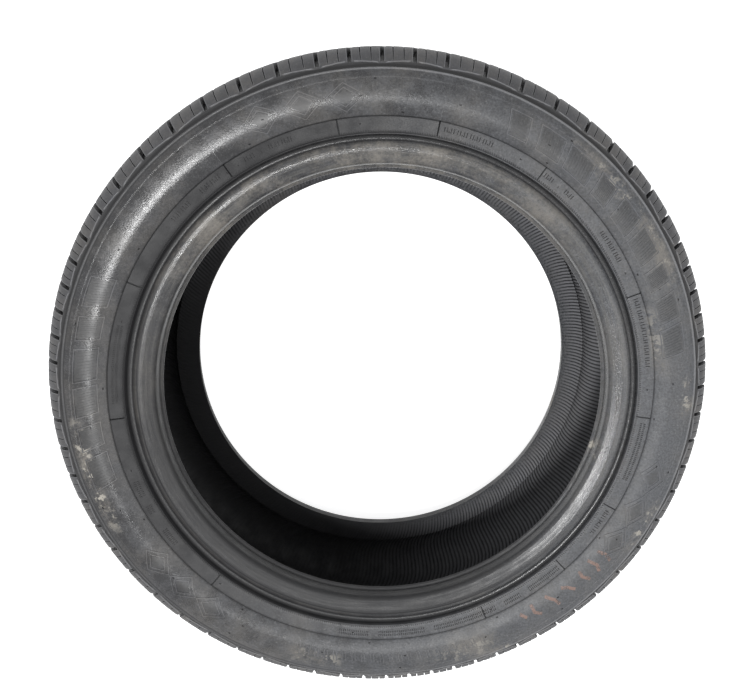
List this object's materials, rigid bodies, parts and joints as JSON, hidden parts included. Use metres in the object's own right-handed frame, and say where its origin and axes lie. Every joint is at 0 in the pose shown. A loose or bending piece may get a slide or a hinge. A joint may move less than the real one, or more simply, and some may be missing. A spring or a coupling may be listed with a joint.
{
  "type": "car tyre",
  "caption": "Unmounted pneumatic car tyre with a grooved tread, blocked shoulders, rounded sidewalls and stiff beads round an open bore.",
  "frame": {"origin": "centre of the tyre, on the spin axis midway between the sidewalls", "axes": "+Z along the spin axis, out of the outer sidewall, which faces up; the tyre lies on its inner sidewall"},
  "size_m": [0.7629, 0.763, 0.24],
  "materials": {
    "tyre": "matte black rubber with a soft sheen, dusty at the bead"
  },
  "bodies": {
    "root": {"tyre": "tyre"}
  },
  "joints": []
}
